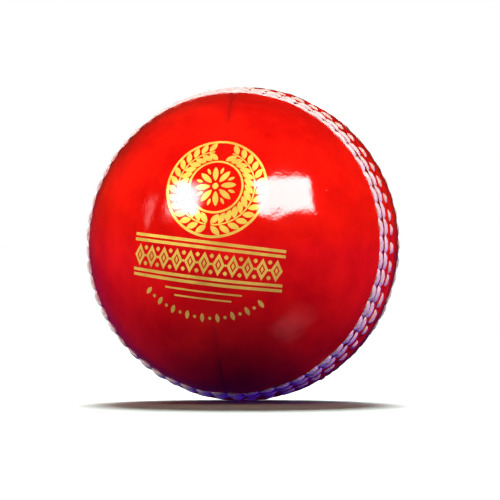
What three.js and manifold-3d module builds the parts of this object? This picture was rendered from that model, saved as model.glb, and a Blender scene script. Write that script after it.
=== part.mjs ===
// A four-piece cricket ball, taken apart as it is made: a wound cork centre, four leather
// quarters, the hidden quarter seams with their backing strips, and the six rows of stitching
// along the raised seam. Millimetres, +Z up, origin at the ball's centre. The seam lies in the
// XZ plane, so both leather cups are turned about the Y axis and the front cup faces -Y.

import * as THREE from "three";
import { mergeVertices } from "three/addons/utils/BufferGeometryUtils.js";
import Module from "manifold-3d";

const wasm = await Module();
wasm.setup();

// Clearance between two pieces that touch
const GAP = 0.3;

// The wound centre, from the middle out
const NUCLEUS_R = 11;
const INNER_WINDING_R = 16;
const CORK_STRIP = 2;
const MIDDLE_WINDING_R = 23.5;
const LEATHER_R = 35.8;
const LEATHER_THICKNESS = 3;
const YARN_TAIL_HOLE_R = 1.6;

// The raised seam: its crest, where the two cups meet, the shelf that carries the outer rows, and
// the shoulder that falls to the plain leather at the foot, by latitude from the seam plane
const SEAM_CREST_R = 36.4;
const SEAM_SHELF_R = 36.1;
const SEAM_SHOULDER_R = 35.95;
const SEAM_FOOT_LATITUDE = 20;

// The three rows of stitches on each side of the seam: latitude, and where along the row its
// stitches start, in degrees. The inner row is set between the stitches of the other two.
const ROWS = {
  inner: { latitude: 5.2, start: 1.6 },
  middle: { latitude: 10.8, start: 0 },
  outer: { latitude: 14.7, start: 0 },
};
const FRONT_START = -2.3;
const BACK_START = 1.4;

// The seam thread and its stitches
const STITCHES = 57;
const THREAD_WIDTH = 1.35;
const THREAD_THICKNESS = 1;
const THREAD_TOP_R = 36.5;
const STITCH_DIP = 0.4;
const THREAD_SIDES = 5;

// The quarter seam, closed from the inside, and the strip glued behind it
const BACKING_STRIP = 0.6;
const BACKING_STRIP_WIDTH = 12;
const BACKING_STRIP_RIM = 12;
const QUARTER_THREAD_R = 0.35;
const QUARTER_STITCH = 3.4;
const QUARTER_THREAD_SWAY = 0.3;
const QUARTER_THREAD_END = 22;

// Facets round a full turn, and from the equator to a pole
const CORE_TURN = 24;
const CORE_RISE = 4;
const LEATHER_TURN = 40;
const LEATHER_RISE = 8;

const LAST_RING = 90 - 90 / CORE_RISE; // latitude of the facets' last ring before a pole
const LEATHER_INNER_R = LEATHER_R - LEATHER_THICKNESS;
const STRIP_TOP_R = LEATHER_INNER_R + BACKING_STRIP;
const STRIP_CHANNEL_R = STRIP_TOP_R + GAP;
const QUARTER_THREAD_PATH_R = STRIP_CHANNEL_R + GAP + QUARTER_THREAD_R;
const GROOVE_FLOOR_R = THREAD_TOP_R - STITCH_DIP - THREAD_THICKNESS - GAP;

const radians = THREE.MathUtils.degToRad;

function finish(color, roughness) {
  return new THREE.MeshStandardMaterial({ color, roughness, metalness: 0 });
}

const MATERIALS = {
  leather: () => finish(0xb5140f, 0.28),
  thread: () => finish(0xf0e6d8, 0.75),
  yarn: () => finish(0xd9cdb0, 0.9),
  cork: () => finish(0xb07f4e, 0.85),
  strip: () => finish(0xc9a27a, 0.8),
};

// ---- Solids ----

function solid(geometry) {
  const bare = geometry.clone();
  bare.deleteAttribute("normal");
  bare.deleteAttribute("uv");
  const merged = mergeVertices(bare, 1e-4);
  const vertProperties = new Float32Array(merged.attributes.position.array);
  const triVerts = new Uint32Array(merged.index.array);
  return new wasm.Manifold(new wasm.Mesh({ numProp: 3, vertProperties, triVerts }));
}

function geometryOf(manifold) {
  const mesh = manifold.getMesh();
  const geometry = new THREE.BufferGeometry();
  geometry.setAttribute("position", new THREE.BufferAttribute(mesh.vertProperties, 3));
  geometry.setIndex(new THREE.BufferAttribute(mesh.triVerts, 1));
  geometry.computeVertexNormals();
  return geometry;
}

function block(low, high) {
  const size = new THREE.Vector3().subVectors(high, low);
  const geometry = new THREE.BoxGeometry(size.x, size.y, size.z);
  geometry.translate((low.x + high.x) / 2, (low.y + high.y) / 2, (low.z + high.z) / 2);
  return solid(geometry);
}

// A point of a turned profile, by radius and latitude in degrees
function profilePoint(radius, latitude) {
  const onAxis = Math.abs(latitude) === 90;
  const x = onAxis ? 0 : radius * Math.cos(radians(latitude));
  return new THREE.Vector2(x, radius * Math.sin(radians(latitude)));
}

function profileArc(radius, from, to, steps) {
  const points = [];
  for (let i = 0; i <= steps; i++) {
    points.push(profilePoint(radius, from + ((to - from) * i) / steps));
  }
  return points;
}

function ball(radius, turn, rise) {
  return new THREE.LatheGeometry(profileArc(radius, -90, 90, 2 * rise), turn);
}

// ---- The wound centre ----

// A layer of yarn, with a small hole at the +Y pole where the yarn's tail goes in
function winding(innerR, outerR) {
  const hole = (radius) => (Math.acos(YARN_TAIL_HOLE_R / radius) * 180) / Math.PI;
  const steps = 2 * CORE_RISE - 1;
  const profile = [
    ...profileArc(outerR, -90, LAST_RING, steps),
    profilePoint(outerR, hole(outerR)),
    profilePoint(innerR, hole(innerR)),
    ...profileArc(innerR, LAST_RING, -90, steps),
  ];
  return new THREE.LatheGeometry(profile, CORE_TURN);
}

// Four strips of cork laid from pole to pole over a winding, turned by offset degrees
function corkStrips(innerR, offset) {
  const outerR = innerR + CORK_STRIP;
  const steps = 2 * CORE_RISE - 2;
  const outline = [
    ...profileArc(outerR, -LAST_RING, LAST_RING, steps),
    ...profileArc(innerR, LAST_RING, -LAST_RING, steps),
  ];
  outline.push(outline[0].clone());
  const layer = solid(new THREE.LatheGeometry(outline, CORE_TURN));
  const far = outerR + 1;
  const strips = [];
  for (const x of [1, -1]) {
    for (const z of [1, -1]) {
      const low = new THREE.Vector3(x > 0 ? GAP / 2 : -far, -far, z > 0 ? GAP / 2 : -far);
      const high = new THREE.Vector3(x > 0 ? far : -GAP / 2, far, z > 0 ? far : -GAP / 2);
      const strip = geometryOf(layer.intersect(block(low, high)));
      strip.rotateY(radians(offset));
      strips.push(strip);
    }
  }
  return strips;
}

// ---- The leather ----

// The groove that a row of stitches lies in, between leather of two radii
function rowGroove(latitude, nearR, farR) {
  const half = ((THREAD_WIDTH / 2 + GAP) / LEATHER_R) * (180 / Math.PI);
  return [
    profilePoint(nearR, latitude - half),
    profilePoint(GROOVE_FLOOR_R, latitude - half),
    profilePoint(GROOVE_FLOOR_R, latitude + half),
    profilePoint(farR, latitude + half),
  ];
}

// A whole cup on the +Y side of the seam, before it is parted into two quarters
function cup() {
  const lip = GAP / 2;
  const profile = [
    new THREE.Vector2(LEATHER_INNER_R, lip),
    new THREE.Vector2(SEAM_CREST_R, lip),
    ...rowGroove(ROWS.inner.latitude, SEAM_CREST_R, SEAM_SHELF_R),
    ...rowGroove(ROWS.middle.latitude, SEAM_SHELF_R, SEAM_SHELF_R),
    ...rowGroove(ROWS.outer.latitude, SEAM_SHELF_R, SEAM_SHOULDER_R),
    ...profileArc(LEATHER_R, SEAM_FOOT_LATITUDE, 90, LEATHER_RISE),
    ...profileArc(LEATHER_INNER_R, 90, 90 / LEATHER_RISE, LEATHER_RISE - 1),
    new THREE.Vector2(LEATHER_INNER_R, lip),
  ];
  return solid(new THREE.LatheGeometry(profile, LEATHER_TURN));
}

// A slab of the cup's inside, of a given half width across the quarter seam
function seamSlab(radius, halfWidth, rim) {
  const whole = solid(ball(radius, LEATHER_TURN, LEATHER_RISE));
  const low = new THREE.Vector3(-halfWidth, rim, -radius);
  const high = new THREE.Vector3(halfWidth, radius + 1, radius);
  return whole.intersect(block(low, high));
}

// The two quarters of a cup, parted along the YZ plane
function quarters() {
  const channel = seamSlab(STRIP_CHANNEL_R, BACKING_STRIP_WIDTH / 2 + GAP, BACKING_STRIP_RIM - GAP);
  const threadRoom = QUARTER_THREAD_R + QUARTER_THREAD_SWAY + GAP;
  const threadTop = QUARTER_THREAD_PATH_R + QUARTER_THREAD_R + GAP;
  const groove = seamSlab(threadTop, threadRoom, BACKING_STRIP_RIM - GAP);
  const skived = cup().subtract(channel).subtract(groove);
  const far = SEAM_CREST_R + 1;
  const right = block(new THREE.Vector3(GAP / 2, 0, -far), new THREE.Vector3(far, far, far));
  const left = block(new THREE.Vector3(-far, 0, -far), new THREE.Vector3(-GAP / 2, far, far));
  return [geometryOf(skived.intersect(right)), geometryOf(skived.intersect(left))];
}

function backingStrip() {
  const outer = seamSlab(STRIP_TOP_R, BACKING_STRIP_WIDTH / 2, BACKING_STRIP_RIM);
  const inner = solid(ball(LEATHER_INNER_R, LEATHER_TURN, LEATHER_RISE));
  return geometryOf(outer.subtract(inner));
}

// ---- The threads ----

// A row of seam stitches: one thread round the ball that rises over each stitch and dips at its holes
function stitchRow(latitude, phase) {
  const ring = new THREE.TorusGeometry(2, 1, THREAD_SIDES, STITCHES * 2);
  const position = ring.attributes.position;
  const tilt = radians(latitude);
  for (let i = 0; i < position.count; i++) {
    const x = position.getX(i);
    const y = position.getY(i);
    const out = Math.hypot(x, y) - 2;
    const along = Math.atan2(y, x);
    const dip = (STITCH_DIP * (1 - Math.cos(along * STITCHES))) / 2;
    const height = THREAD_TOP_R - dip + ((out - 1) * THREAD_THICKNESS) / 2;
    const side = (-position.getZ(i) * THREAD_WIDTH) / 2;
    const turn = along + phase;
    const reach = height * Math.cos(tilt) - side * Math.sin(tilt);
    const rise = height * Math.sin(tilt) + side * Math.cos(tilt);
    position.setXYZ(i, reach * Math.cos(turn), rise, reach * Math.sin(turn));
  }
  ring.computeVertexNormals();
  return ring;
}

// The thread that closes a quarter seam from the inside, swaying from stitch to stitch
function quarterThread() {
  const span = 180 - 2 * QUARTER_THREAD_END;
  const length = radians(span) * QUARTER_THREAD_PATH_R;
  const steps = 2 * Math.round(length / QUARTER_STITCH);
  const points = [];
  for (let i = 0; i <= steps; i++) {
    const angle = radians(QUARTER_THREAD_END + (span * i) / steps);
    const sway = i % 2 ? QUARTER_THREAD_SWAY : -QUARTER_THREAD_SWAY;
    const y = QUARTER_THREAD_PATH_R * Math.sin(angle);
    points.push(new THREE.Vector3(sway, y, QUARTER_THREAD_PATH_R * Math.cos(angle)));
  }
  const section = new THREE.Shape();
  for (let i = 0; i < THREAD_SIDES; i++) {
    const angle = (i * 2 * Math.PI) / THREAD_SIDES;
    const corner = new THREE.Vector2(Math.cos(angle), Math.sin(angle)).multiplyScalar(QUARTER_THREAD_R);
    if (i === 0) section.moveTo(corner.x, corner.y);
    else section.lineTo(corner.x, corner.y);
  }
  const path = new THREE.CatmullRomCurve3(points);
  return new THREE.ExtrudeGeometry(section, { steps, bevelEnabled: false, extrudePath: path });
}

// ---- Assembly ----

const cricketBall = new THREE.Group();

function add(parent, name, geometry, material) {
  const mesh = new THREE.Mesh(geometry, MATERIALS[material]());
  mesh.name = name;
  parent.add(mesh);
}

function addCentre() {
  add(cricketBall, "cork_nucleus", ball(NUCLEUS_R, CORE_TURN, CORE_RISE), "cork");
  add(cricketBall, "inner_winding", winding(NUCLEUS_R + GAP, INNER_WINDING_R), "yarn");
  const firstLayerR = INNER_WINDING_R + GAP;
  corkStrips(firstLayerR, 0).forEach((strip, i) => {
    add(cricketBall, `inner_cork_strip_${i + 1}`, strip, "cork");
  });
  add(cricketBall, "middle_winding", winding(firstLayerR + CORK_STRIP + GAP, MIDDLE_WINDING_R), "yarn");
  const secondLayerR = MIDDLE_WINDING_R + GAP;
  corkStrips(secondLayerR, 45).forEach((strip, i) => {
    add(cricketBall, `outer_cork_strip_${i + 1}`, strip, "cork");
  });
  const windingR = secondLayerR + CORK_STRIP + GAP;
  add(cricketBall, "outer_winding", winding(windingR, LEATHER_INNER_R - GAP), "yarn");
}

// Half a ball's cover, made on the +Y side: side names it, halves name its two quarters
function addCover(side, halves, turn, start) {
  const cover = new THREE.Group();
  cover.rotation.copy(turn);
  const [first, second] = quarters();
  add(cover, `${side}_${halves[0]}_quarter`, first, "leather");
  add(cover, `${side}_${halves[1]}_quarter`, second, "leather");
  add(cover, `${side}_backing_strip`, backingStrip(), "strip");
  add(cover, `${side}_quarter_thread`, quarterThread(), "thread");
  for (const [row, { latitude, start: shift }] of Object.entries(ROWS)) {
    add(cover, `${side}_${row}_stitch_row`, stitchRow(latitude, radians(start + shift)), "thread");
  }
  cricketBall.add(cover);
}

addCentre();
// The front cup faces -Y with its quarter seam upright; the back cup's seam lies level
addCover("front", ["left", "right"], new THREE.Euler(0, 0, Math.PI), FRONT_START);
addCover("back", ["lower", "upper"], new THREE.Euler(0, Math.PI / 2, 0), BACK_START);

export default cricketBall;
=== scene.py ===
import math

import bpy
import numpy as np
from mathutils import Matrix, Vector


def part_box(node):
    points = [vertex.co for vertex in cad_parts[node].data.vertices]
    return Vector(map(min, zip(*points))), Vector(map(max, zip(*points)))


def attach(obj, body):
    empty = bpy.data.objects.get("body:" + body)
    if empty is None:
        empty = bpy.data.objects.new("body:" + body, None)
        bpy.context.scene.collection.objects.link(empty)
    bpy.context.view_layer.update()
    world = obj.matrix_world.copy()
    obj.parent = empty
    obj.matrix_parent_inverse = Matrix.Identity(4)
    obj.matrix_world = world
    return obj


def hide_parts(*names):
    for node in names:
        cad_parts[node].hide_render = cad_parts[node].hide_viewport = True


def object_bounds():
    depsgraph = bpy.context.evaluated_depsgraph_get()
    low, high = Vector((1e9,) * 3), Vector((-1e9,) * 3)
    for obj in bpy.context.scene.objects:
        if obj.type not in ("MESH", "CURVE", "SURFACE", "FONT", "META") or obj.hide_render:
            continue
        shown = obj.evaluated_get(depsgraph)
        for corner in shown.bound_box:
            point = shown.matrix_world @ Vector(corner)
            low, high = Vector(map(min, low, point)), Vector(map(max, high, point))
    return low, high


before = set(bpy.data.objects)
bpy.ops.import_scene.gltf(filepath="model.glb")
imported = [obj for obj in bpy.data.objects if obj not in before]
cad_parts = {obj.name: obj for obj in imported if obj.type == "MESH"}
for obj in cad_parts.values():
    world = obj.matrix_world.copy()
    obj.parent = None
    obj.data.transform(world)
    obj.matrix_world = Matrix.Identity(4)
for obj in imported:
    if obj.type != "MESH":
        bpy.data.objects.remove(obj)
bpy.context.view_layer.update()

# The looks of a red four-piece cricket ball: four leather quarters, six rows of waxed thread along
# the raised seam, a gold ornament pressed into the front, and the wound centre inside. The front
# faces -Y, the seam lies in the XZ plane, and lengths are in millimetres until a mesh is made.

MM = 0.001

# ---- Camera ----

CAMERA_AZIMUTH = math.radians(14.6)
CAMERA_ELEVATION = math.radians(-1.8)
CAMERA_DISTANCE = 0.612
CAMERA_LENS = 189.4


def view_direction(azimuth, elevation):
    """From the ball towards a viewer at that azimuth, counted from the front, and elevation."""
    flat = math.cos(elevation)
    return Vector((math.sin(azimuth) * flat, -math.cos(azimuth) * flat, math.sin(elevation)))


def add_camera():
    data = bpy.data.cameras.new("camera")
    data.lens = CAMERA_LENS
    data.sensor_width = 36
    data.shift_x = 0.0145
    data.shift_y = -0.012
    data.clip_start = 0.01
    camera = bpy.data.objects.new("camera", data)
    back = view_direction(CAMERA_AZIMUTH, CAMERA_ELEVATION)
    camera.location = back * CAMERA_DISTANCE
    camera.rotation_euler = back.to_track_quat("Z", "Y").to_euler()
    bpy.context.scene.collection.objects.link(camera)
    bpy.context.scene.camera = camera


add_camera()

# ---- Sizes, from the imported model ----

SIDES = {"front": -1, "back": 1}
ROWS = ("inner", "middle", "outer")
POLE_R = -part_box("front_left_quarter")[0].y / MM
CREST_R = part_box("front_left_quarter")[1].z / MM
LINING_GAP = 0.3
LEATHER_INNER_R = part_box("outer_winding")[1].z / MM + LINING_GAP
STITCHES = 57
PITCH = 2 * math.pi / STITCHES
THREAD_WIDTH = 1.74
THREAD_THICKNESS = 1.0
HOLE_INSET = 0.04
HOLE_R = 0.26


def row_place(side, row):
    """Latitude, in degrees from the seam plane, and outer radius of a row of stitches."""
    low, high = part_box(f"{side}_{row}_stitch_row")
    across = abs(low.y + high.y) / 2
    latitude = math.degrees(math.atan2(across, high.z))
    return latitude, high.z / math.cos(math.radians(latitude)) / MM


# ---- Smooth seeded noise: a few waves in random directions ----


def waves(seed, length, count=14):
    rng = np.random.default_rng(seed)
    directions = rng.normal(size=(count, 3))
    directions /= np.linalg.norm(directions, axis=1)[:, None]
    numbers = directions * (2 * math.pi / (length * rng.uniform(0.7, 1.5, (count, 1))))
    return numbers, rng.uniform(0, 2 * math.pi, count)


def wave_noise(points, field):
    """A smooth value of about -1 to 1 at each point, in millimetres."""
    numbers, phases = field
    return np.sin(points @ numbers.T + phases).sum(axis=1) / math.sqrt(len(phases))


LUMPS = waves(11, 26)
RIPPLES = waves(12, 9)
DIMPLES = waves(14, 3.2)
PUCKERS = waves(13, 3)


def bump(x, width):
    return np.exp(-((x / width) ** 2))


def smoothstep(x, low, high):
    t = np.clip((x - low) / (high - low), 0, 1)
    return t * t * (3 - 2 * t)


# ---- Where each stitch goes ----

# Where the rows' first stitches start, in degrees, and the slant of the outer rows' stitches
ROW_START = {"inner": 0.7, "middle": 2.3, "outer": 2.3}
SLANT = 0.11


def stitch_plan(side, row):
    """One row: its latitude and radius, and each stitch's middle, half length and irregularities."""
    latitude, radius = row_place(side, row)
    rng = np.random.default_rng(100 + 10 * SIDES[side] + ROWS.index(row))
    middles = math.radians(ROW_START[row]) + (np.arange(STITCHES) + 0.5) * PITCH
    if row == "inner":
        middles = middles + rng.normal(0, 0.07, STITCHES) * PITCH
        halves = rng.uniform(0.95, 1.7, STITCHES)
        slant = 0.0
    else:
        slant = SLANT
        middles = middles + rng.normal(0, 0.012, STITCHES) * PITCH
        halves = np.full(STITCHES, PITCH / 2 * radius * math.cos(math.radians(latitude)))
    return {
        "latitude": latitude,
        "radius": radius,
        "middles": middles,
        "halves": halves,
        "lift": rng.normal(0, 0.04, STITCHES),
        "shift": rng.normal(0, 0.05, STITCHES),
        "slant": rng.normal(slant, 0.025, STITCHES),
        "twist": rng.uniform(0, 2 * math.pi, STITCHES),
        "first": middles[0],
    }


PLANS = {side: {row: stitch_plan(side, row) for row in ROWS} for side in SIDES}

# ---- The leather's surface ----

# How far the raised seam stands above the plain leather, by latitude: the crest where the cups
# meet, the ridge between the inner and middle rows, the shelf under the outer rows and the foot
CREST_RISE = CREST_R - POLE_R
SEAM_PROFILE = (
    (0.0, CREST_RISE),
    (3.4, CREST_RISE),
    (6.7, 0.26),
    (8.3, 0.28),
    (9.8, 0.16),
    (16.0, 0.1),
    (19.5, 0.0),
)


def seam_rise(latitude):
    rise = np.full(len(latitude), SEAM_PROFILE[0][1])
    for (low, rise_low), (high, rise_high) in zip(SEAM_PROFILE[:-1], SEAM_PROFILE[1:]):
        rise += (rise_high - rise_low) * smoothstep(latitude, low, high)
    return rise


def seam_wander(side, t):
    """How far a quarter seam strays from its plane, in millimetres, at -1 to 1 along it."""
    if side == "front":
        return 1.35 * (1 - t**8) + 1.75 * bump(t - 0.67, 0.24) - 0.8 * bump(t + 0.9, 0.18)
    return 0.9 * np.sin(2.6 * t + 0.5) * (1 - t**6)


def across_and_along(side, points):
    """Places across and along a cup's quarter seam: upright on the front cup, level on the back."""
    return (points[:, 0], points[:, 2]) if side == "front" else (points[:, 2], points[:, 0])


def seam_distance(side, unit):
    across, along = across_and_along(side, unit)
    return across * POLE_R - seam_wander(side, along)


def stitch_marks(plan, latitude, longitude):
    """0 to 1 at the nearest stitch's holes, and 0 to 1 beside the middle of that stitch."""
    turn = (longitude - plan["first"]) / PITCH
    index = np.round(turn).astype(int) % STITCHES
    off = longitude - plan["middles"][index]
    off = (off + math.pi) % (2 * math.pi) - math.pi
    along = off * plan["radius"] * math.cos(math.radians(plan["latitude"]))
    across = np.radians(latitude - plan["latitude"]) * plan["radius"]
    from_end = np.abs(along) - plan["halves"][index] + HOLE_INSET
    hole = np.exp(-(from_end**2 + across**2) / HOLE_R**2)
    middle = np.cos(np.clip(along / plan["halves"][index], -1, 1) * math.pi / 2) * bump(across, 1.2)
    return hole, middle


def press_stitches(side, latitude, longitude, radius, recess):
    """Sinks a channel under each row of stitches, with holes at their ends and puckers beside them."""
    for row in ROWS:
        plan = PLANS[side][row]
        hole, middle = stitch_marks(plan, latitude, longitude)
        channel = bump(latitude - plan["latitude"], 1.0)
        radius -= 0.3 * channel + 0.2 * hole
        radius += 0.06 * middle * (1 - channel)
        # Painted shade: channels and holes are marked as recessed, so the leather's colour darkens
        # there.
        recess = np.maximum(recess, np.maximum(0.3 * channel, 0.85 * hole))
    return radius, recess


def press_quarter_seam(side, unit, radius, recess):
    """Adds the quarter seam: a fine groove between slight lips, tighter in some places than others."""
    distance = np.abs(seam_distance(side, unit))
    _, along = across_and_along(side, unit)
    tight = 0.6 + 0.4 * np.sin(9 * along + 1.3) * np.cos(23 * along)
    tight *= 0.05 + 0.95 * smoothstep(np.abs(along), 0.3, 0.7)
    radius -= 0.09 * tight * np.exp(-distance / 0.3)
    radius += 0.015 * tight * bump(distance - 0.9, 0.6) - 0.015 * bump(distance, 3.0)
    # Painted shade: the seam's groove is marked as recessed, so a dark line is painted along it.
    recess = np.maximum(recess, 0.6 * tight * np.exp(-distance / 0.35))
    recess = np.maximum(recess, 0.3 * tight * bump(distance, 1.3))
    return radius, recess


def leather_surface(side, unit):
    """The leather's outer radius in each direction, and how recessed each place is, for the painted
    shade in its colour.
    """
    latitude = np.degrees(np.arcsin(np.clip(np.abs(unit[:, 1]), 0, 1)))
    longitude = np.arctan2(unit[:, 2], unit[:, 0])
    points = unit * POLE_R
    rise = seam_rise(latitude)
    radius = POLE_R + rise - 0.3 * bump(latitude, 0.4)
    # Marked for painted shade: the groove where the cups meet and the gap between the middle and outer
    # rows.
    recess = np.maximum(0.6 * bump(latitude, 0.4), 0.95 * bump(latitude - 12.75, 1.2))
    radius, recess = press_stitches(side, latitude, longitude, radius, recess)
    radius, recess = press_quarter_seam(side, unit, radius, recess)
    radius += 0.06 * wave_noise(points, LUMPS) + 0.055 * wave_noise(points, RIPPLES)
    radius += 0.009 * wave_noise(points, DIMPLES)
    radius += 0.1 * rise * wave_noise(points, PUCKERS)
    return radius, np.clip(recess, 0, 1)


# ---- Meshes ----

PIECES = {"front": [], "back": [], "inside": []}
SHARP_EDGE = math.radians(60)


def new_piece(name, side, vertices, faces, material, attributes=None):
    """Makes an object from points in millimetres, smooth but for its sharp edges, on the ball's body."""
    mesh = bpy.data.meshes.new(name)
    mesh.from_pydata((np.asarray(vertices) * MM).tolist(), [], faces)
    mesh.polygons.foreach_set("use_smooth", [True] * len(faces))
    mesh.set_sharp_from_angle(angle=SHARP_EDGE)
    for key, values in (attributes or {}).items():
        layer = mesh.attributes.new(key, "FLOAT", "POINT")
        layer.data.foreach_set("value", np.asarray(values, np.float32))
    mesh.update()
    piece = bpy.data.objects.new(name, mesh)
    bpy.context.scene.collection.objects.link(piece)
    piece.data.materials.append(material)
    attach(piece, "root")
    PIECES[side].append(piece)
    return piece


def ladder(lower, upper):
    """Faces between two lines of vertices; upper has as many segments as lower, or half."""
    faces = []
    if len(upper) == len(lower):
        for i in range(len(lower) - 1):
            faces.append((lower[i], lower[i + 1], upper[i + 1], upper[i]))
    else:
        for i in range(len(upper) - 1):
            a, b, c = lower[2 * i], lower[2 * i + 1], lower[2 * i + 2]
            faces += [(a, b, upper[i]), (b, upper[i + 1], upper[i]), (b, c, upper[i + 1])]
    return faces


# Bands of the leather's mesh: from and to latitude, rings, and segments in half a turn
LEATHER_BANDS = ((0, 20, 56, 456), (20, 50, 32, 228), (50, 75, 26, 114), (75, 88.8, 14, 57))
FEWEST_SEGMENTS = LEATHER_BANDS[-1][3]


def skin_rings():
    """Latitude and segment count of each ring of the outer skin, from the seam to near the pole."""
    rings = []
    for low, high, steps, segments in LEATHER_BANDS:
        rings += [(low + (high - low) * i / steps, segments) for i in range(steps)]
    return rings + [(LEATHER_BANDS[-1][1], FEWEST_SEGMENTS)]


def lining_rings():
    """The same latitudes for the inner skin, with the segments halved from ring to ring."""
    rings, segments = [], LEATHER_BANDS[0][3]
    for latitude, _ in skin_rings():
        rings.append((latitude, segments))
        segments = max(segments // 2, FEWEST_SEGMENTS)
    return rings


def half_turn(half, segments):
    """Longitudes of one quarter's half turn, from one end of its quarter seam to the other."""
    start = {"right": -0.5, "left": 0.5, "upper": 0.0, "lower": 1.0}[half] * math.pi
    return start + np.linspace(0, math.pi, segments + 1)


def unit_vectors(side, latitude, longitude):
    flat = math.cos(math.radians(latitude))
    y = np.full(len(longitude), SIDES[side] * math.sin(math.radians(latitude)))
    return np.stack([flat * np.cos(longitude), y, flat * np.sin(longitude)], axis=1)


def strayed(side, unit):
    """Moves directions near the quarter seam so that the quarter's edge follows its wander."""
    across, along = across_and_along(side, unit)
    reach = bump(across * POLE_R, 7.0) * smoothstep(np.abs(unit[:, 1]), 0.0, 0.25)
    moved = across * POLE_R + seam_wander(side, along) * reach
    out = unit.copy()
    out[:, 0 if side == "front" else 2] = moved / POLE_R
    return out / np.linalg.norm(out, axis=1)[:, None]


def quarter_rings(side, half, rings, first):
    """Directions of all rings of a quarter, with the pole last, and each ring's vertex numbers."""
    directions, numbers = [], []
    for latitude, segments in rings:
        unit = unit_vectors(side, latitude, half_turn(half, segments))
        directions.append(strayed(side, unit))
        numbers.append(list(range(first, first + len(unit))))
        first += len(unit)
    pole = strayed(side, np.array([[0.0, SIDES[side], 0.0]]))
    directions.append(pole)
    numbers.append([first])
    return np.concatenate(directions), numbers


def ring_faces(numbers):
    faces = []
    for lower, upper in zip(numbers[:-2], numbers[1:-1]):
        faces += ladder(lower, upper)
    last, pole = numbers[-2], numbers[-1][0]
    for i in range(len(last) - 1):
        faces.append((last[i], last[i + 1], pole))
    return faces


def flipped(faces):
    return [tuple(reversed(face)) for face in faces]


def edge_loop(numbers):
    """A quarter's boundary, once round: along the seam, up one end, over the pole, and down."""
    loop = list(numbers[0])
    loop += [ring[-1] for ring in numbers[1:-1]]
    loop.append(numbers[-1][0])
    loop += [ring[0] for ring in reversed(numbers[1:-1])]
    return loop


def quarter(side, half, material):
    """One leather quarter: a shaped outer skin, a plain inner skin and cut edges between them."""
    outer, outer_ids = quarter_rings(side, half, skin_rings(), 0)
    radius, recess = leather_surface(side, outer)
    inner, inner_ids = quarter_rings(side, half, lining_rings(), len(outer))
    vertices = np.concatenate([outer * radius[:, None], inner * LEATHER_INNER_R])
    rim, inner_rim = edge_loop(outer_ids), edge_loop(inner_ids)
    walls = []
    for i in range(len(rim)):
        j = (i + 1) % len(rim)
        walls.append((rim[j], rim[i], inner_rim[i], inner_rim[j]))
    skins = ring_faces(outer_ids) + flipped(ring_faces(inner_ids))
    faces = flipped(skins + walls) if side == "back" else skins + walls
    # The inner skin is marked fully recessed, so it takes the darkest painted shade.
    recess = {"recess": np.concatenate([recess, np.ones(len(inner))])}
    name = f"{side}_{half}_leather"
    piece = new_piece(name, side, vertices, faces, material, recess)
    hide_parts(f"{side}_{half}_quarter")
    return piece


# ---- Threads ----

PLIES = 3
SECTION_SIDES = 15
STITCH_STEPS = 16
TWIST_LENGTH = 3.8
PLY_OFFSET = 0.3
# How far a stitch drops from its middle to its ends, and then into its holes
ARCH = {"inner": 0.3, "middle": 0.5, "outer": 0.5}
SINK = 0.7
ROW_STAIN = {"inner": 0.45, "middle": 0.08, "outer": 0.08}


def ply_outline(angle):
    """Outline of three plies laid together, 1 at the crown of each ply and less between them."""
    third = 2 * math.pi / PLIES
    from_ply = (angle + third / 2) % third - third / 2
    ply = 1 - PLY_OFFSET
    return PLY_OFFSET * np.cos(from_ply) + np.sqrt(ply**2 - (PLY_OFFSET * np.sin(from_ply)) ** 2)


def stitch_line(plan, side, row, k):
    """Points along the middle of one stitch, hole to hole, and its sideways and outward directions."""
    t = np.sin(np.linspace(-1, 1, STITCH_STEPS + 1) * math.pi / 2)
    end = np.abs(t)
    along = t * (plan["halves"][k] - HOLE_INSET)
    drop = ARCH[row] * end**2.5 + SINK * end**40
    lateral = plan["shift"][k] + plan["slant"][k] * along
    row_r = plan["radius"] * math.cos(math.radians(plan["latitude"]))
    longitude = plan["middles"][k] + along / row_r
    latitude = math.radians(plan["latitude"]) + lateral / plan["radius"]
    y = SIDES[side] * np.sin(latitude)
    flat = np.cos(latitude)
    unit = np.stack([flat * np.cos(longitude), y, flat * np.sin(longitude)], axis=1)
    radius = plan["radius"] - THREAD_THICKNESS / 2 + plan["lift"][k] - drop
    centre = unit * radius[:, None]
    tangent = np.gradient(centre, axis=0)
    tangent /= np.linalg.norm(tangent, axis=1)[:, None]
    sideways = np.cross(unit[STITCH_STEPS // 2], tangent[STITCH_STEPS // 2])
    return end, centre, sideways, np.cross(tangent, sideways[None, :])


def stitch(plan, side, row, k):
    """Rings of points round one stitch, hole to hole, and how stained each point is."""
    end, centre, sideways, outward = stitch_line(plan, side, row, k)
    length = np.concatenate([[0], np.cumsum(np.linalg.norm(np.diff(centre, axis=0), axis=1))])
    slim = 1 - 0.05 * end**4 - 0.2 * end**40
    angle = np.linspace(0, 2 * math.pi, SECTION_SIDES, endpoint=False)
    rings = []
    for i in range(len(centre)):
        outline = ply_outline(angle - plan["twist"][k] - 2 * math.pi * length[i] / TWIST_LENGTH)
        wide = outline * np.cos(angle) * THREAD_WIDTH / 2 * slim[i]
        thick = outline * np.sin(angle) * THREAD_THICKNESS / 2 * slim[i]
        rings.append(centre[i] + wide[:, None] * sideways + thick[:, None] * outward[i])
    stain = np.repeat(ROW_STAIN[row] + 0.4 * end**24, SECTION_SIDES)
    return np.concatenate(rings), stain


def tube_faces(rings, sides, first):
    """Faces of a closed tube made of rings of points."""
    faces = []
    for i in range(rings - 1):
        for j in range(sides):
            a = first + i * sides + j
            b = first + i * sides + (j + 1) % sides
            faces.append((a, b, b + sides, a + sides))
    faces.append(tuple(first + j for j in reversed(range(sides))))
    faces.append(tuple(first + (rings - 1) * sides + j for j in range(sides)))
    return faces


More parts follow.
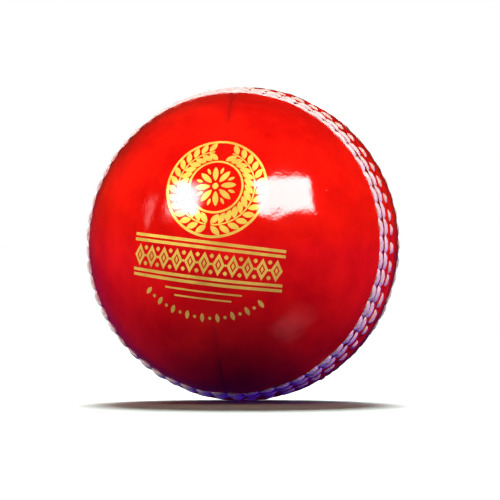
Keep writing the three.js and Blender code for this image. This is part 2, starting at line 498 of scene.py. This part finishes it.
def stitch_row(side, row, material):
    vertices, stains, faces, count = [], [], [], 0
    for k in range(STITCHES):
        points, stain = stitch(PLANS[side][row], side, row, k)
        faces += tube_faces(STITCH_STEPS + 1, SECTION_SIDES, count)
        vertices.append(points)
        stains.append(stain)
        count += len(points)
    attributes = {"stain": np.concatenate(stains)}
    name = f"{side}_{row}_stitches"
    piece = new_piece(name, side, np.concatenate(vertices), faces, material, attributes)
    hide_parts(f"{side}_{row}_stitch_row")
    return piece


# ---- The wound centre ----

TURN = 288  # points in a ring
YARN_TAIL_HOLE_R = 1.6
# Each winding's name, inner radius, strand width and seed
WINDINGS = (("inner", 11.3, 1.5, 21), ("middle", 18.6, 1.9, 22), ("outer", 26.1, 2.2, 23))
LAYERS = 16  # bundles of yarn, each laid across those before it
PASSES = 9  # turns side by side in a bundle
RELIEF = 0.7
NUCLEUS_CUT = 0.15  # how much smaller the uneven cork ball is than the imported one


def ring_directions(latitude):
    longitude = np.linspace(0, 2 * math.pi, TURN, endpoint=False)
    return unit_vectors("back", latitude, longitude)


def turned_body(name, node, rings, material, recess):
    """A body made of rings of points round the Y axis, closed by a point at each end."""
    points = [rings[0].mean(axis=0)[None, :], *rings, rings[-1].mean(axis=0)[None, :]]
    last = len(rings) * TURN + 1
    faces = []
    for j in range(TURN):
        k = (j + 1) % TURN
        faces.append((0, 1 + j, 1 + k))
        faces.append((last, last - TURN + k, last - TURN + j))
        for i in range(len(rings) - 1):
            a = 1 + i * TURN
            faces.append((a + j, a + TURN + j, a + TURN + k, a + k))
    recess = np.concatenate([[0], recess, [0]])
    piece = new_piece(name, "inside", np.concatenate(points), faces, material, {"recess": recess})
    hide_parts(node)


def yarn_relief(unit, radius, strand, seed):
    """How high the yarn lies, 0 to 1: level turns all over, and bundles laid across them at random."""
    rng = np.random.default_rng(seed)
    turns = np.arcsin(np.clip(unit[:, 2], -1, 1)) * radius / strand
    relief = 0.45 * np.abs(np.cos(math.pi * turns))
    for layer in range(LAYERS):
        axis, drift = rng.normal(size=(2, 3))
        axis /= np.linalg.norm(axis)
        drift -= axis * (drift @ axis)
        drift *= strand / radius / np.linalg.norm(drift)
        for turn in range(PASSES):
            normal = axis + drift * (turn - PASSES / 2)
            normal /= np.linalg.norm(normal)
            across = 2 * radius * np.arcsin(np.clip(unit @ normal, -1, 1)) / strand
            crown = np.sqrt(np.clip(1 - across**2, 0, 1))
            height = 0.45 * (layer + 1) / LAYERS + 0.55 * crown
            relief = np.maximum(relief, np.where(crown > 0, height, 0))
    return relief


def winding(layer, inner_r, strand, seed, material):
    """A hollow ball of wound yarn, with a hole at the back pole where the yarn's tail goes in."""
    outer_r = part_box(f"{layer}_winding")[1].z / MM
    rise = round(math.pi * outer_r / strand * 3)
    top = math.degrees(math.acos(YARN_TAIL_HOLE_R / outer_r))
    rings, recess = [], []
    for latitude in np.linspace(-89, top, rise):
        unit = ring_directions(latitude)
        relief = yarn_relief(unit, outer_r, strand, seed)
        rings.append(unit * (outer_r - RELIEF * (1 - relief))[:, None])
        # How low the yarn lies here, which the yarn's colour turns into painted shade.
        recess.append(1 - relief)
    top = math.degrees(math.acos(YARN_TAIL_HOLE_R / inner_r))
    for latitude in np.linspace(top, -89, rise // 6):
        rings.append(ring_directions(latitude) * inner_r)
        # The inside of the winding takes half the painted shade.
        recess.append(np.full(TURN, 0.5))
    recess = np.concatenate(recess)
    turned_body(f"{layer}_yarn", f"{layer}_winding", rings, material, recess)


def nucleus(material):
    """The ball of cork in the middle, cut a little unevenly."""
    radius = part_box("cork_nucleus")[1].z / MM - NUCLEUS_CUT
    rings, recess = [], []
    for latitude in np.linspace(-88, 88, 89):
        unit = ring_directions(latitude)
        uneven = wave_noise(unit * radius, PUCKERS)
        rings.append(unit * (radius + 0.05 * uneven)[:, None])
        recess.append(0.5 - 0.2 * uneven)
    turned_body("cork_core", "cork_nucleus", rings, material, np.concatenate(recess))


# ---- The gold ornament: a wreath round a rosette, over a band of lozenges ----

STAMP_TILT = math.radians(-7.2)
STAMP_SHIFT = 1.1
FOIL_LIFT = 0.022
FOIL_DEPTH = 0.12
FOIL_STEP = 0.35
LANES = np.array([-1, -1 / 3, 1 / 3, 1])


def stamp_to_ball(p, q):
    """Directions of stamp points, measured in millimetres over the leather from the front pole."""
    p = p + STAMP_SHIFT
    u = p * math.cos(STAMP_TILT) - q * math.sin(STAMP_TILT)
    v = p * math.sin(STAMP_TILT) + q * math.cos(STAMP_TILT)
    distance = np.hypot(u, v) + 1e-9
    angle = distance / POLE_R
    x = np.sin(angle) * u / distance
    z = np.sin(angle) * v / distance
    return np.stack([x, -np.cos(angle), z], axis=1)


def plate_edges(rows, columns, closed):
    """The edge or edges of a grid of points, each once round with the grid on its left."""
    last = (rows - 1) * columns
    if closed:
        return [list(range(columns)), [last + j for j in reversed(range(columns))]]
    edge = list(range(columns))
    edge += [i * columns + columns - 1 for i in range(1, rows)]
    edge += [last + j for j in range(columns - 2, -1, -1)]
    edge += [i * columns for i in range(rows - 2, 0, -1)]
    return [edge]


class Foil:
    """Gathers strips of foil laid on the leather, each a thin closed plate."""

    def __init__(self):
        self.vertices, self.faces, self.count = [], [], 0

    def plate(self, grid, closed):
        """Adds a grid of stamp points; a closed one joins its last column to its first."""
        rows, columns, _ = grid.shape
        unit = stamp_to_ball(grid[:, :, 0].ravel(), grid[:, :, 1].ravel())
        radius, _ = leather_surface("front", unit)
        top, under = self.count, self.count + rows * columns
        for i in range(rows - 1):
            for j in range(columns if closed else columns - 1):
                a, b = i * columns + j, i * columns + (j + 1) % columns
                quad = (a, b, b + columns, a + columns)
                self.faces.append(tuple(top + n for n in quad))
                self.faces.append(tuple(under + n for n in reversed(quad)))
        for edge in plate_edges(rows, columns, closed):
            for n, m in zip(edge, edge[1:] + edge[:1]):
                self.faces.append((top + m, top + n, under + n, under + m))
        self.vertices += [unit * (radius + FOIL_LIFT)[:, None], unit * (radius - FOIL_DEPTH)[:, None]]
        self.count += 2 * rows * columns

    def strip(self, points, width, closed=False):
        """A line of even or changing width along a list of stamp points."""
        points = np.asarray(points, float)
        if closed:
            tangent = np.roll(points, -1, axis=0) - np.roll(points, 1, axis=0)
        else:
            tangent = np.gradient(points, axis=0)
        tangent /= np.linalg.norm(tangent, axis=1)[:, None]
        normal = np.stack([-tangent[:, 1], tangent[:, 0]], axis=1)
        half = np.broadcast_to(width, len(points))[:, None] / 2
        self.plate(points + LANES[:, None, None] * normal * half, closed)

    def line(self, start, end, width):
        steps = max(3, round(math.dist(start, end) / FOIL_STEP))
        self.strip(np.linspace(start, end, steps), width)

    def arc(self, centre, radius, start, end, width):
        steps = max(6, round(abs(end - start) * radius / FOIL_STEP))
        angle = np.linspace(start, end, steps)
        self.strip(centre + radius * np.stack([np.cos(angle), np.sin(angle)], axis=1), width)

    def ring(self, centre, radius, width):
        angle = np.linspace(0, 2 * math.pi, round(2 * math.pi * radius / FOIL_STEP), endpoint=False)
        points = centre + radius * np.stack([np.cos(angle), np.sin(angle)], axis=1)
        self.strip(points, width, closed=True)

    def leaf(self, centre, length, width, angle):
        """A pointed oval, its ends blunted slightly so that no two points coincide."""
        t = np.linspace(-1, 1, 9)
        axis = np.array([math.cos(angle), math.sin(angle)])
        self.strip(centre + t[:, None] * axis * length / 2, width * (1.03 - t**2) ** 0.8)

    def lozenge(self, centre, half_width, half_height):
        t = np.linspace(-1, 1, 9)
        spine = centre + t[:, None] * np.array([0.0, half_height])
        self.strip(spine, 2 * half_width * (1.04 - np.abs(t)))

    def lozenge_frame(self, centre, half_width, half_height, inside):
        """An outlined lozenge; inside is the size of its opening as a part of the whole."""
        corners = np.array([(0, half_height), (-half_width, 0), (0, -half_height), (half_width, 0)])
        ends = np.roll(corners, -1, axis=0)
        sides = [np.linspace(a, b, 6, endpoint=False) for a, b in zip(corners, ends)]
        outer = np.concatenate(sides)
        grid = [centre + outer * scale for scale in np.linspace(1, inside, 4)]
        self.plate(np.stack(grid), True)

    def dot(self, centre, radius):
        self.leaf(centre, 2 * radius, 2 * radius, 0.0)

    def piece(self, name, material):
        foil = new_piece(name, "front", np.concatenate(self.vertices), self.faces, material)


EMBLEM_CENTRE = np.array([0.0, 12.2])
EMBLEM_R = 11.5
EMBLEM_INNER_R = 6.1
BRANCH_R = 8.85
BRANCH_OPENING = math.radians(14)
LEAF_PAIRS = 14
ROSETTE_PETALS = 8
RULE_HALF_LENGTH = 17.9


def emblem_point(radius, angle):
    return EMBLEM_CENTRE + radius * np.array([math.cos(angle), math.sin(angle)])


def wreath(foil):
    """Two leafy branches that meet at the foot of the emblem and nearly meet at its top."""
    foot, span, lean = -math.pi / 2, math.pi - BRANCH_OPENING, math.radians(47)
    for hand in (-1, 1):
        foil.arc(EMBLEM_CENTRE, BRANCH_R, foot + hand * 0.06, foot + hand * span, 0.36)
        for i in range(LEAF_PAIRS):
            angle = foot + hand * (0.16 + i * (span - 0.2) / (LEAF_PAIRS - 1))
            along = angle + hand * math.pi / 2
            for turn, offset in ((lean, 1.28), (-lean, -1.28)):
                foil.leaf(emblem_point(BRANCH_R + offset, angle), 2.75, 1.35, along - hand * turn)


def rosette(foil):
    """Eight long petals with a short one in each gap, round a dot."""
    foil.dot(EMBLEM_CENTRE, 0.75)
    for i in range(2 * ROSETTE_PETALS):
        angle = (i + 0.5) * math.pi / ROSETTE_PETALS
        middle, length, width = (3.9, 1.7, 0.7) if i % 2 else (2.95, 3.5, 1.3)
        foil.leaf(emblem_point(middle, angle), length, width, angle)


def band(foil):
    """Lozenges and dots between double rules, and two short rules below them."""
    for q in (-0.55, -1.75, -8.6, -9.8):
        foil.line((-RULE_HALF_LENGTH, q), (RULE_HALF_LENGTH, q), 0.72)
    count, middle, margin = 11, -5.2, 1.7
    step = 2 * (RULE_HALF_LENGTH - margin) / (count - 1)
    for i in range(count):
        p = margin - RULE_HALF_LENGTH + i * step
        foil.lozenge_frame(np.array([p, middle]), 1.42, 2.6, 0.5)
        foil.lozenge(np.array([p, middle]), 0.36, 0.8)
        if i < count - 1:
            for dq in (-1.8, 0, 1.8):
                foil.dot(np.array([p + step / 2, middle + dq]), 0.5 if dq else 0.3)
    for q, half in ((-11.7, 9.0), (-13.3, 6.7)):
        foil.line((-half, q), (half, q), 0.42)


def garland(foil):
    """A curved row of small leaves and dots under the band."""
    centre, radius, reach, count = np.array([0.0, 3.3]), 21.3, math.radians(39), 17
    for i in range(count):
        angle = -math.pi / 2 + reach * (2 * i / (count - 1) - 1)
        place = centre + radius * np.array([math.cos(angle), math.sin(angle)])
        if i % 2:
            foil.dot(place, 0.42)
        else:
            foil.leaf(place, 2.3, 1.0, angle)


def add_ornament(material):
    emblem = Foil()
    emblem.ring(EMBLEM_CENTRE, EMBLEM_R, 0.62)
    emblem.ring(EMBLEM_CENTRE, EMBLEM_INNER_R, 0.5)
    wreath(emblem)
    rosette(emblem)
    emblem.piece("foil_emblem", material)
    lower = Foil()
    band(lower)
    garland(lower)
    lower.piece("foil_band", material)


# ---- Materials ----


def nodes_of(name):
    material = bpy.data.materials.new(name)
    material.use_nodes = True
    tree = material.node_tree
    tree.nodes.clear()
    output = tree.nodes.new("ShaderNodeOutputMaterial")
    shader = tree.nodes.new("ShaderNodeBsdfPrincipled")
    tree.links.new(shader.outputs["BSDF"], output.inputs["Surface"])
    return material, tree, shader


def object_coords(tree, scale=(1, 1, 1)):
    coords = tree.nodes.new("ShaderNodeTexCoord")
    mapping = tree.nodes.new("ShaderNodeMapping")
    mapping.inputs["Scale"].default_value = scale
    tree.links.new(coords.outputs["Object"], mapping.inputs["Vector"])
    return mapping.outputs["Vector"]


def noise(tree, vector, scale, detail=4.0, roughness=0.55):
    node = tree.nodes.new("ShaderNodeTexNoise")
    node.inputs["Scale"].default_value = scale
    node.inputs["Detail"].default_value = detail
    node.inputs["Roughness"].default_value = roughness
    tree.links.new(vector, node.inputs["Vector"])
    return node.outputs["Fac"]


def ramp(tree, value, stops):
    node = tree.nodes.new("ShaderNodeValToRGB")
    elements = node.color_ramp.elements
    while len(elements) < len(stops):
        elements.new(0.5)
    for element, (position, color) in zip(elements, stops):
        element.position = position
        element.color = (*color, 1)
    tree.links.new(value, node.inputs["Fac"])
    return node.outputs["Color"]


def mix(tree, factor, a, b, mode="MIX"):
    """Mixes two colours; each input is a socket or a plain value."""
    node = tree.nodes.new("ShaderNodeMix")
    node.data_type = "RGBA"
    node.blend_type = mode
    for socket, value in ((node.inputs["Factor"], factor), (node.inputs[6], a), (node.inputs[7], b)):
        if isinstance(value, bpy.types.NodeSocket):
            tree.links.new(value, socket)
        else:
            socket.default_value = value if isinstance(value, float) else (*value, 1)
    return node.outputs[2]


def math_node(tree, operation, a, b):
    node = tree.nodes.new("ShaderNodeMath")
    node.operation = operation
    for socket, value in ((node.inputs[0], a), (node.inputs[1], b)):
        if isinstance(value, bpy.types.NodeSocket):
            tree.links.new(value, socket)
        else:
            socket.default_value = value
    return node.outputs[0]


def map_range(tree, value, low, high):
    node = tree.nodes.new("ShaderNodeMapRange")
    node.inputs["To Min"].default_value = low
    node.inputs["To Max"].default_value = high
    tree.links.new(value, node.inputs["Value"])
    return node.outputs["Result"]


def bump_normal(tree, height, distance):
    """A surface normal tilted by a height of 0 to 1 times distance, in metres."""
    node = tree.nodes.new("ShaderNodeBump")
    node.inputs["Strength"].default_value = 1.0
    node.inputs["Distance"].default_value = distance
    tree.links.new(height, node.inputs["Height"])
    return node.outputs["Normal"]


def spots(tree, vector, scale, size):
    """1 in small round spots, one to a cell of a random grid, and 0 between them."""
    cells = tree.nodes.new("ShaderNodeTexVoronoi")
    cells.inputs["Scale"].default_value = scale
    tree.links.new(vector, cells.inputs["Vector"])
    range_node = tree.nodes.new("ShaderNodeMapRange")
    range_node.interpolation_type = "SMOOTHSTEP"
    range_node.inputs["From Min"].default_value = size
    range_node.inputs["From Max"].default_value = size * 0.4
    tree.links.new(cells.outputs["Distance"], range_node.inputs["Value"])
    return range_node.outputs["Result"]


def attribute(tree, name):
    node = tree.nodes.new("ShaderNodeAttribute")
    node.attribute_name = name
    return node.outputs["Fac"]


def add_lacquer(tree, shader, vector, texture):
    """A glossy clear coat with faint ripples of its own over the texture beneath it."""
    shader.inputs["Coat Weight"].default_value = 0.9
    shader.inputs["Coat Roughness"].default_value = 0.06
    shader.inputs["Coat IOR"].default_value = 1.85
    ripple = math_node(tree, "MULTIPLY", noise(tree, vector, 420, 4, 0.62), 3.0)
    height = math_node(tree, "ADD", ripple, texture)
    tree.links.new(bump_normal(tree, height, 0.000006), shader.inputs["Coat Normal"])


def leather_material():
    """Waxed and polished hide: mottled dye, painted shade in the recesses, pores, and a glossy lacquer.
    """
    material, tree, shader = nodes_of("red_leather")
    vector = object_coords(tree)
    mottle = noise(tree, vector, 60, 6, 0.66)
    hide = ramp(tree, mottle, ((0.34, (0.43, 0.0024, 0.0012)), (0.66, (0.62, 0.012, 0.0036))))
    smears = noise(tree, object_coords(tree, (1, 1, 0.35)), 210, 5, 0.7)
    hide = mix(tree, map_range(tree, smears, 0.0, 0.4), hide, (0.28, 0.002, 0.0015))
    pimple_and_glint = spots(tree, vector, 75, 0.032)
    # Painted glints: the pimples are raised by a real bump below, and coloured pale pink as if they
    # caught the light.
    hide = mix(tree, math_node(tree, "MULTIPLY", pimple_and_glint, 0.7), hide, (0.78, 0.14, 0.10))
    # Painted shade: the leather turns near black where it is recessed, in the seam's grooves, stitch
    # channels and holes.
    recess_shade = math_node(tree, "MULTIPLY", attribute(tree, "recess"), 0.8)
    color = mix(tree, recess_shade, hide, (0.035, 0.006, 0.008))
    tree.links.new(color, shader.inputs["Base Color"])
    tree.links.new(map_range(tree, smears, 0.13, 0.27), shader.inputs["Roughness"])
    shader.inputs["IOR"].default_value = 1.5
    shader.inputs["Specular IOR Level"].default_value = 0.05
    grain = noise(tree, vector, 1300, 4, 0.6)
    pores = tree.nodes.new("ShaderNodeTexVoronoi")
    pores.inputs["Scale"].default_value = 1500
    tree.links.new(vector, pores.inputs["Vector"])
    texture = math_node(tree, "ADD", grain, pores.outputs["Distance"])
    raised = math_node(tree, "MULTIPLY", pimple_and_glint, 6.0)
    texture = math_node(tree, "ADD", texture, raised)
    tree.links.new(bump_normal(tree, texture, 0.000006), shader.inputs["Normal"])
    add_lacquer(tree, shader, vector, texture)
    return material


def thread_material():
    """Waxed linen thread, cleaner on its crowns and stained where it enters the leather."""
    material, tree, shader = nodes_of("seam_thread")
    vector = object_coords(tree)
    tone = noise(tree, vector, 300, 5, 0.6)
    clean = ramp(tree, tone, ((0.3, (0.44, 0.36, 0.34)), (0.68, (0.56, 0.47, 0.45))))
    stained = ramp(tree, tone, ((0.3, (0.38, 0.25, 0.14)), (0.7, (0.52, 0.38, 0.23))))
    stain = attribute(tree, "stain")
    color = mix(tree, stain, clean, stained)
    deep = map_range(tree, stain, 0.0, 1.0)
    deep.node.inputs["From Min"].default_value = 0.5
    color = mix(tree, deep, color, (0.14, 0.05, 0.05))
    tree.links.new(color, shader.inputs["Base Color"])
    shader.inputs["Roughness"].default_value = 0.55
    shader.inputs["Sheen Weight"].default_value = 0.1
    fibres = noise(tree, vector, 6500, 3, 0.6)
    tree.links.new(bump_normal(tree, fibres, 0.00003), shader.inputs["Normal"])
    return material


def foil_material():
    """Gold foil pressed into the hide, mottled and rubbed through in specks."""
    material, tree, shader = nodes_of("gold_foil")
    vector = object_coords(tree)
    tone = noise(tree, vector, 190, 5, 0.6)
    gold = ramp(tree, tone, ((0.3, (0.52, 0.37, 0.075)), (0.7, (0.72, 0.56, 0.12))))
    rubbed = noise(tree, vector, 1300, 4, 0.7)
    worn = ramp(tree, rubbed, ((0.66, (0, 0, 0)), (0.76, (1, 1, 1))))
    color = mix(tree, worn, gold, (0.4, 0.02, 0.01))
    tree.links.new(color, shader.inputs["Base Color"])
    shader.inputs["Metallic"].default_value = 0.25
    tree.links.new(map_range(tree, tone, 0.22, 0.42), shader.inputs["Roughness"])
    tree.links.new(bump_normal(tree, rubbed, 0.000004), shader.inputs["Normal"])
    shader.inputs["Specular IOR Level"].default_value = 0.2
    add_lacquer(tree, shader, vector, rubbed)
    return material


def yarn_material():
    """Worsted yarn: cream wool with painted shade in the gaps between the turns, and fine curly fibres.
    """
    material, tree, shader = nodes_of("wound_yarn")
    vector = object_coords(tree)
    tone = noise(tree, vector, 260, 5, 0.65)
    wool = ramp(tree, tone, ((0.3, (0.50, 0.40, 0.25)), (0.7, (0.70, 0.61, 0.44))))
    # Painted shade: the wool darkens where the yarn lies low, between the turns.
    shade = map_range(tree, attribute(tree, "recess"), 0.0, 0.8)
    color = mix(tree, shade, wool, (0.20, 0.14, 0.08))
    tree.links.new(color, shader.inputs["Base Color"])
    tree.links.new(map_range(tree, tone, 0.8, 1.0), shader.inputs["Roughness"])
    shader.inputs["Sheen Weight"].default_value = 0.3
    fibres = noise(tree, object_coords(tree, (1, 2.5, 1)), 3200, 5, 0.7)
    tree.links.new(bump_normal(tree, fibres, 0.00012), shader.inputs["Normal"])
    return material


def cork_material():
    """Pressed cork: pale and dark granules side by side, with black pits."""
    material, tree, shader = nodes_of("cork")
    vector = object_coords(tree)
    granules = tree.nodes.new("ShaderNodeTexVoronoi")
    granules.inputs["Scale"].default_value = 620
    tree.links.new(vector, granules.inputs["Vector"])
    tone = tree.nodes.new("ShaderNodeSeparateColor")
    tree.links.new(granules.outputs["Color"], tone.inputs["Color"])
    cork = ramp(tree, tone.outputs["Red"], ((0.1, (0.30, 0.155, 0.065)), (0.9, (0.56, 0.34, 0.17))))
    mottle = noise(tree, vector, 900, 5, 0.6)
    cork = mix(tree, mottle, cork, (0.40, 0.22, 0.10))
    pits = spots(tree, vector, 900, 0.26)
    color = mix(tree, math_node(tree, "MULTIPLY", pits, 0.8), cork, (0.05, 0.025, 0.012))
    tree.links.new(color, shader.inputs["Base Color"])
    tree.links.new(map_range(tree, mottle, 0.75, 0.95), shader.inputs["Roughness"])
    hollow = math_node(tree, "SUBTRACT", mottle, pits)
    height = math_node(tree, "SUBTRACT", hollow, granules.outputs["Distance"])
    tree.links.new(bump_normal(tree, height, 0.00015), shader.inputs["Normal"])
    return material


def lining_material():
    """The flesh side of undyed hide: tan, matt and fibrous."""
    material, tree, shader = nodes_of("lining_leather")
    vector = object_coords(tree)
    tone = noise(tree, vector, 150, 6, 0.65)
    hide = ramp(tree, tone, ((0.3, (0.42, 0.25, 0.13)), (0.7, (0.60, 0.41, 0.25))))
    nap = noise(tree, object_coords(tree, (1, 1, 3)), 1800, 5, 0.7)
    color = mix(tree, map_range(tree, nap, 0.0, 0.5), hide, (0.30, 0.17, 0.09))
    tree.links.new(color, shader.inputs["Base Color"])
    tree.links.new(map_range(tree, nap, 0.8, 1.0), shader.inputs["Roughness"])
    shader.inputs["Sheen Weight"].default_value = 0.2
    tree.links.new(bump_normal(tree, nap, 0.00008), shader.inputs["Normal"])
    return material


def closing_material():
    """The thread of the quarter seams: twisted linen, waxed and dyed red."""
    material, tree, shader = nodes_of("closing_thread")
    vector = object_coords(tree)
    tone = noise(tree, vector, 700, 5, 0.6)
    linen = ramp(tree, tone, ((0.3, (0.40, 0.08, 0.05)), (0.7, (0.58, 0.16, 0.11))))
    twist = tree.nodes.new("ShaderNodeTexWave")
    twist.bands_direction = "DIAGONAL"
    twist.inputs["Scale"].default_value = 900
    twist.inputs["Distortion"].default_value = 1.5
    tree.links.new(vector, twist.inputs["Vector"])
    # Painted shade: the thread darkens in the grooves of its twist, where the bump is low.
    color = mix(tree, map_range(tree, twist.outputs["Fac"], 0.35, 0.0), linen, (0.20, 0.04, 0.03))
    tree.links.new(color, shader.inputs["Base Color"])
    shader.inputs["Roughness"].default_value = 0.6
    tree.links.new(bump_normal(tree, twist.outputs["Fac"], 0.00008), shader.inputs["Normal"])
    return material


def dress_cad_nodes(cork, lining, closing):
    """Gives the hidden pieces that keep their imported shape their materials."""
    materials = {"cork_strip": cork, "backing_strip": lining, "quarter_thread": closing}
    for name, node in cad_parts.items():
        for part, material in materials.items():
            if part in name:
                node.material_slots[0].material = material


# ---- Stage ----

# Lamps for light stand behind those for reflections, because lamps in one place hide each other
LAMP_DISTANCE = 0.62
SHINE_DISTANCE = 0.6
LAMP_EDGE = 0.1
FLOOR_HALF_SIDE = 4.0
VIEW_GAMMA = 0.8


def aim(lamp, azimuth, elevation, distance):
    """Puts a lamp round the ball, at angles counted from the camera's side, facing the ball."""
    back = view_direction(CAMERA_AZIMUTH + math.radians(azimuth), math.radians(elevation))
    lamp.location = back * distance
    lamp.rotation_euler = back.to_track_quat("Z", "Y").to_euler()


def light_only(lamp, objects):
    """Keeps a lamp's light for some objects and off all others."""
    receivers = bpy.data.collections.new(f"{lamp.name}_receivers")
    for item in objects:
        receivers.objects.link(item)
    lamp.light_linking.receiver_collection = receivers


def soft_edges(data, soft):
    """Fades a lamp's brightness towards its edges, over a part of its width."""
    data.use_nodes = True
    tree = data.node_tree
    place = tree.nodes.new("ShaderNodeNewGeometry")
    split = tree.nodes.new("ShaderNodeSeparateXYZ")
    tree.links.new(place.outputs["Parametric"], split.inputs["Vector"])
    fade = 1.0
    for axis in ("X", "Y"):
        for low, high in ((0.0, soft), (1.0, 1.0 - soft)):
            node = tree.nodes.new("ShaderNodeMapRange")
            node.interpolation_type = "SMOOTHSTEP"
            node.inputs["From Min"].default_value = low
            node.inputs["From Max"].default_value = high
            tree.links.new(split.outputs[axis], node.inputs["Value"])
            fade = math_node(tree, "MULTIPLY", node.outputs["Result"], fade)
    tree.links.new(fade, tree.nodes["Emission"].inputs["Strength"])


def softbox(name, place, size, power, soft, objects):
    """A rectangular lamp at a place of azimuth, elevation and distance, for some objects only."""
    data = bpy.data.lights.new(name, "AREA")
    data.shape = "RECTANGLE"
    data.size, data.size_y = size
    data.energy = power
    soft_edges(data, soft)
    lamp = bpy.data.objects.new(name, data)
    bpy.context.scene.collection.objects.link(lamp)
    aim(lamp, *place)
    light_only(lamp, objects)
    return lamp


def add_floor(height):
    """A plain pale floor that the camera sees but that throws no light or shadow on the ball."""
    side = FLOOR_HALF_SIDE
    corners = [(x, y, height) for x, y in ((-side, -side), (side, -side), (side, side), (-side, side))]
    mesh = bpy.data.meshes.new("floor")
    mesh.from_pydata(corners, [], [(0, 1, 2, 3)])
    floor = bpy.data.objects.new("floor", mesh)
    bpy.context.scene.collection.objects.link(floor)
    material, tree, shader = nodes_of("floor")
    shader.inputs["Base Color"].default_value = (0.80, 0.90, 0.87, 1)
    shader.inputs["Roughness"].default_value = 0.9
    shader.inputs["Specular IOR Level"].default_value = 0.0
    floor.data.materials.append(material)
    floor.visible_diffuse = False
    floor.visible_glossy = False
    floor.visible_shadow = False
    return floor


# Azimuth from the camera's side, elevation, and strength
FLOOR_LIGHTS = ((180, 48, 6.6), (180, 25, 1.4), (0, 70, 0.35))
FLOOR_LIGHT_SPREAD = math.radians(24)


def light_floor(floor, name, azimuth, elevation, strength):
    """Soft light from over and behind the ball for the floor alone, so that the floor stays pale."""
    data = bpy.data.lights.new(name, "SUN")
    data.energy = strength
    data.angle = FLOOR_LIGHT_SPREAD
    lamp = bpy.data.objects.new(name, data)
    bpy.context.scene.collection.objects.link(lamp)
    aim(lamp, azimuth, elevation, LAMP_DISTANCE)
    light_only(lamp, [floor])


def add_world():
    """White behind everything, and for the ball a dark surround that is violet below."""
    world = bpy.data.worlds.new("world")
    world.use_nodes = True
    tree = world.node_tree
    tree.nodes.clear()
    output = tree.nodes.new("ShaderNodeOutputWorld")
    seen = tree.nodes.new("ShaderNodeBackground")
    seen.inputs["Color"].default_value = (1, 1, 1, 1)
    fill = tree.nodes.new("ShaderNodeBackground")
    coords = tree.nodes.new("ShaderNodeTexCoord")
    split = tree.nodes.new("ShaderNodeSeparateXYZ")
    tree.links.new(coords.outputs["Generated"], split.inputs["Vector"])
    level = map_range(tree, split.outputs["Z"], 0.0, 1.0)
    level.node.inputs["From Min"].default_value = -1.0
    stops = ((0.15, (0.01, 0.003, 0.10)), (0.45, (0.06, 0.018, 0.14)), (0.6, (0.07, 0.045, 0.03)))
    color = ramp(tree, level, stops)
    tree.links.new(color, fill.inputs["Color"])
    path = tree.nodes.new("ShaderNodeLightPath")
    choose = tree.nodes.new("ShaderNodeMixShader")
    tree.links.new(path.outputs["Is Camera Ray"], choose.inputs["Fac"])
    tree.links.new(fill.outputs["Background"], choose.inputs[1])
    tree.links.new(seen.outputs["Background"], choose.inputs[2])
    tree.links.new(choose.outputs["Shader"], output.inputs["Surface"])
    bpy.context.scene.world = world


# Lamps that light the ball's pieces and aren't reflected: the side they light, azimuth and elevation
# from the camera's side, size, power and colour
LIT_LAMPS = (
    ("key_right", "both", 34.8, 31, 0.4, 7.1, (1, 1, 1)),
    ("key_left", "both", -47.5, 30, 0.34, 4.8, (1, 1, 1)),
    ("fill_right", "front", 76, 14, 0.34, 2.6, (1, 0.45, 0.7)),
    ("fill_left", "both", -82, 9, 0.34, 5.0, (0.95, 0.92, 1)),
    ("violet_right", "front", 92, -46, 0.4, 4.6, (0.14, 0.01, 1)),
    ("back_key", "back", 180, 24, 0.5, 9.5, (1, 1, 1)),
)
# Softboxes that the lacquer reflects: the side they show on, azimuth, elevation, width, height, power
# and softness of edge
SHINE_LAMPS = (
    ("shine_right", "both", 34.8, 33, 0.48, 0.33, 5.6, 0.14),
    ("shine_left", "both", -47.5, 29, 0.36, 0.32, 4.2, 0.36),
    ("shine_below", "front", 61, -55, 0.34, 0.34, 0.12, 0.4),
    ("shine_side", "front", -75, 18, 0.09, 0.22, 0.10, 0.4),
    ("shine_back", "back", 180, 36, 0.5, 0.32, 5.0, 0.14),
)


def add_stage(height):
    floor = add_floor(height)
    for i, (azimuth, elevation, strength) in enumerate(FLOOR_LIGHTS):
        light_floor(floor, f"floor_light_{i + 1}", azimuth, elevation, strength)
    everything = sum(PIECES.values(), list(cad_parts.values()))
    pieces = {**PIECES, "both": everything}
    for name, side, azimuth, elevation, size, power, color in LIT_LAMPS:
        place = (azimuth, elevation, LAMP_DISTANCE)
        lamp = softbox(name, place, (size, size), power, LAMP_EDGE, pieces[side])
        lamp.data.color = color
        lamp.visible_glossy = False
        # With importance sampling on, the ball's brightness jumped when other lamps changed
        lamp.data.cycles.use_multiple_importance_sampling = False
    for name, side, azimuth, elevation, width, height, power, soft in SHINE_LAMPS:
        place = (azimuth, elevation, SHINE_DISTANCE)
        lamp = softbox(name, place, (width, height), power, soft, pieces[side])
        lamp.visible_diffuse = False
    add_world()
    settings = bpy.context.scene.view_settings
    settings.view_transform = "Standard"
    settings.gamma = VIEW_GAMMA


# ---- Build ----

leather = leather_material()
thread = thread_material()
gold = foil_material()

for side, halves in (("front", ("left", "right")), ("back", ("lower", "upper"))):
    for half in halves:
        quarter(side, half, leather)
    for row in ROWS:
        stitch_row(side, row, thread)

add_ornament(gold)

yarn = yarn_material()
cork = cork_material()
for layer, inner_r, strand, seed in WINDINGS:
    winding(layer, inner_r, strand, seed, yarn)
nucleus(cork)
dress_cad_nodes(cork, lining_material(), closing_material())

low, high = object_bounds()
add_stage(low.z)
